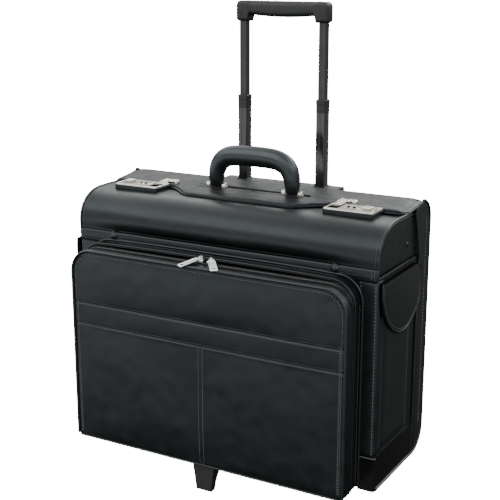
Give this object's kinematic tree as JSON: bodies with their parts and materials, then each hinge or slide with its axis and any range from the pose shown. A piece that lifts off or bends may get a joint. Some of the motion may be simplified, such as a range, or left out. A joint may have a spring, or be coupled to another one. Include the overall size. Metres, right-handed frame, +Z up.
{
  "type": "rolling laptop case",
  "caption": "Boxy leather-covered wheeled case with a split top lid, locks, carrying handle, zipped front pocket, side pockets and a telescopic trolley.",
  "frame": {"origin": "on the floor, under the middle of the case's footprint", "axes": "+X to the right seen from the front, -Y towards the front pocket, +Z up"},
  "size_m": [0.4932, 0.2605, 0.6765],
  "materials": {
    "body_leather": "satin black synthetic leather with a fine grain",
    "padded_leather": "softly padded satin black synthetic leather",
    "lining": "matte dark woven lining",
    "nickel": "bright nickel plate with fine wear",
    "black_rivet": "gloss black",
    "guard_plastic": "gloss black",
    "moulded_plastic": "fine moulded texture, matte",
    "tube_black": "satin black coated aluminium",
    "zipper": "black coil and tape",
    "wheel_rubber": "matte black",
    "axle_steel": "plain steel"
  },
  "bodies": {
    "case": {"base_board": "body_leather", "front_panel": "body_leather", "rear_panel": "body_leather", "rear_top_rail": "body_leather", "left_side_panel": "body_leather", "right_side_panel": "body_leather", "file_divider": "lining", "hinge_strip": "body_leather", "strip_stud_left": "black_rivet", "strip_stud_right": "black_rivet", "corner_guard_left": "guard_plastic", "corner_guard_right": "guard_plastic", "pocket_gusset": "body_leather", "zipper_coil": "zipper", "side_pocket_left": "padded_leather", "side_pocket_right": "padded_leather", "trolley_cover": "moulded_plastic", "trolley_bezel": "moulded_plastic", "outer_tube_left": "tube_black", "outer_tube_right": "tube_black", "wheel_housing_left": "moulded_plastic", "wheel_housing_right": "moulded_plastic", "wheel_axle_left": "axle_steel", "wheel_axle_right": "axle_steel", "front_foot": "moulded_plastic"},
    "front_lid": {"front_lid": "body_leather", "handle_bracket_left": "nickel", "handle_bracket_right": "nickel", "lock_body_left": "nickel", "lock_body_right": "nickel"},
    "rear_lid": {"rear_lid": "body_leather", "handle_tab": "body_leather", "hasp_plate_left": "nickel", "hasp_plate_right": "nickel"},
    "carry_handle": {"handle_grip": "padded_leather"},
    "trolley_mid": {"mid_tube_left": "tube_black", "mid_tube_right": "tube_black"},
    "trolley_inner": {"inner_tube_left": "tube_black", "inner_tube_right": "tube_black", "trolley_grip": "moulded_plastic"},
    "pocket_cover": {"pocket_cover": "padded_leather"},
    "lock_slide_left": {"lock_slide_left": "nickel"},
    "digit_left_1": {"digit_wheel_left_1": "nickel"},
    "digit_left_2": {"digit_wheel_left_2": "nickel"},
    "digit_left_3": {"digit_wheel_left_3": "nickel"},
    "hasp_left": {"hasp_left": "nickel"},
    "side_flap_left": {"side_flap_left": "body_leather"},
    "zip_slider_left": {"zip_slider_left": "nickel"},
    "zip_pull_left": {"zip_pull_left": "nickel"},
    "wheel_left": {"wheel_left": "wheel_rubber"},
    "lock_slide_right": {"lock_slide_right": "nickel"},
    "digit_right_1": {"digit_wheel_right_1": "nickel"},
    "digit_right_2": {"digit_wheel_right_2": "nickel"},
    "digit_right_3": {"digit_wheel_right_3": "nickel"},
    "hasp_right": {"hasp_right": "nickel"},
    "side_flap_right": {"side_flap_right": "body_leather"},
    "zip_slider_right": {"zip_slider_right": "nickel"},
    "zip_pull_right": {"zip_pull_right": "nickel"},
    "wheel_right": {"wheel_right": "wheel_rubber"}
  },
  "joints": [
    {"name": "front_lid_hinge", "type": "hinge", "parent": "case", "child": "front_lid", "pos_m": [0, -0.0693, 0.35], "axis": [1, 0, 0], "range_deg": [0, 45], "deforming": ["handle_tab"]},
    {"name": "rear_lid_hinge", "type": "hinge", "parent": "case", "child": "rear_lid", "pos_m": [0, 0.0727, 0.4147], "axis": [1, 0, 0], "range_deg": [-112.5, 0], "deforming": ["handle_tab"]},
    {"name": "handle_fold", "type": "hinge", "parent": "front_lid", "child": "carry_handle", "pos_m": [0, 0.0297, 0.412], "axis": [1, 0, 0], "range_deg": [-45, 70]},
    {"name": "trolley_mid_slide", "type": "slide", "parent": "case", "child": "trolley_mid", "axis": [0, 0, 1], "range_m": [-0.12, 0.135]},
    {"name": "trolley_inner_slide", "type": "slide", "parent": "trolley_mid", "child": "trolley_inner", "axis": [0, 0, 1], "range_m": [-0.105, 0.15]},
    {"name": "pocket_cover_hinge", "type": "hinge", "parent": "case", "child": "pocket_cover", "pos_m": [0, -0.1188, 0.042], "axis": [1, 0, 0], "range_deg": [0, 90]},
    {"name": "lock_slide_left_travel", "type": "slide", "parent": "front_lid", "child": "lock_slide_left", "axis": [-1, 0, 0], "range_m": [0, 0.005], "stiffness_N_per_m": 150},
    {"name": "digit_left_1_turn", "type": "hinge", "parent": "front_lid", "child": "digit_left_1", "pos_m": [-0.161, -0.0033, 0.4087], "axis": [1, 0, 0], "continuous": true},
    {"name": "digit_left_2_turn", "type": "hinge", "parent": "front_lid", "child": "digit_left_2", "pos_m": [-0.1695, -0.0033, 0.4087], "axis": [1, 0, 0], "continuous": true},
    {"name": "digit_left_3_turn", "type": "hinge", "parent": "front_lid", "child": "digit_left_3", "pos_m": [-0.178, -0.0033, 0.4087], "axis": [1, 0, 0], "continuous": true},
    {"name": "hasp_left_hinge", "type": "hinge", "parent": "rear_lid", "child": "hasp_left", "pos_m": [-0.1455, 0.0169, 0.4126], "axis": [1, 0, 0], "range_deg": [-120, 0]},
    {"name": "side_flap_left_hinge", "type": "hinge", "parent": "case", "child": "side_flap_left", "pos_m": [-0.2405, 0.0147, 0.3325], "axis": [0, 1, 0], "range_deg": [0, 80]},
    {"name": "zip_slider_left_travel", "type": "slide", "parent": "case", "child": "zip_slider_left", "axis": [-1, 0, 0], "range_m": [0, 0.168]},
    {"name": "zip_pull_left_swing", "type": "hinge", "parent": "zip_slider_left", "child": "zip_pull_left", "pos_m": [-0.011, -0.0993, 0.34], "axis": [-0.848, 0.5299, 0], "range_deg": [0, 80]},
    {"name": "wheel_left_spin", "type": "hinge", "parent": "case", "child": "wheel_left", "pos_m": [-0.194, 0.1027, 0.0275], "axis": [1, 0, 0], "continuous": true},
    {"name": "lock_slide_right_travel", "type": "slide", "parent": "front_lid", "child": "lock_slide_right", "axis": [1, 0, 0], "range_m": [0, 0.005], "stiffness_N_per_m": 150},
    {"name": "digit_right_1_turn", "type": "hinge", "parent": "front_lid", "child": "digit_right_1", "pos_m": [0.161, -0.0033, 0.4087], "axis": [1, 0, 0], "continuous": true},
    {"name": "digit_right_2_turn", "type": "hinge", "parent": "front_lid", "child": "digit_right_2", "pos_m": [0.1695, -0.0033, 0.4087], "axis": [1, 0, 0], "continuous": true},
    {"name": "digit_right_3_turn", "type": "hinge", "parent": "front_lid", "child": "digit_right_3", "pos_m": [0.178, -0.0033, 0.4087], "axis": [1, 0, 0], "continuous": true},
    {"name": "hasp_right_hinge", "type": "hinge", "parent": "rear_lid", "child": "hasp_right", "pos_m": [0.1455, 0.0169, 0.4126], "axis": [1, 0, 0], "range_deg": [-120, 0]},
    {"name": "side_flap_right_hinge", "type": "hinge", "parent": "case", "child": "side_flap_right", "pos_m": [0.2405, 0.0147, 0.3325], "axis": [0, -1, 0], "range_deg": [0, 80]},
    {"name": "zip_slider_right_travel", "type": "slide", "parent": "case", "child": "zip_slider_right", "axis": [1, 0, 0], "range_m": [0, 0.168]},
    {"name": "zip_pull_right_swing", "type": "hinge", "parent": "zip_slider_right", "child": "zip_pull_right", "pos_m": [0.006, -0.0993, 0.34], "axis": [-0.788, -0.6157, 0], "range_deg": [0, 80]},
    {"name": "wheel_right_spin", "type": "hinge", "parent": "case", "child": "wheel_right", "pos_m": [0.194, 0.1027, 0.0275], "axis": [1, 0, 0], "continuous": true}
  ],
  "couplings": [
    {"joint": "rear_lid_hinge", "follows": "front_lid_hinge", "ratio": -2.5}
  ]
}
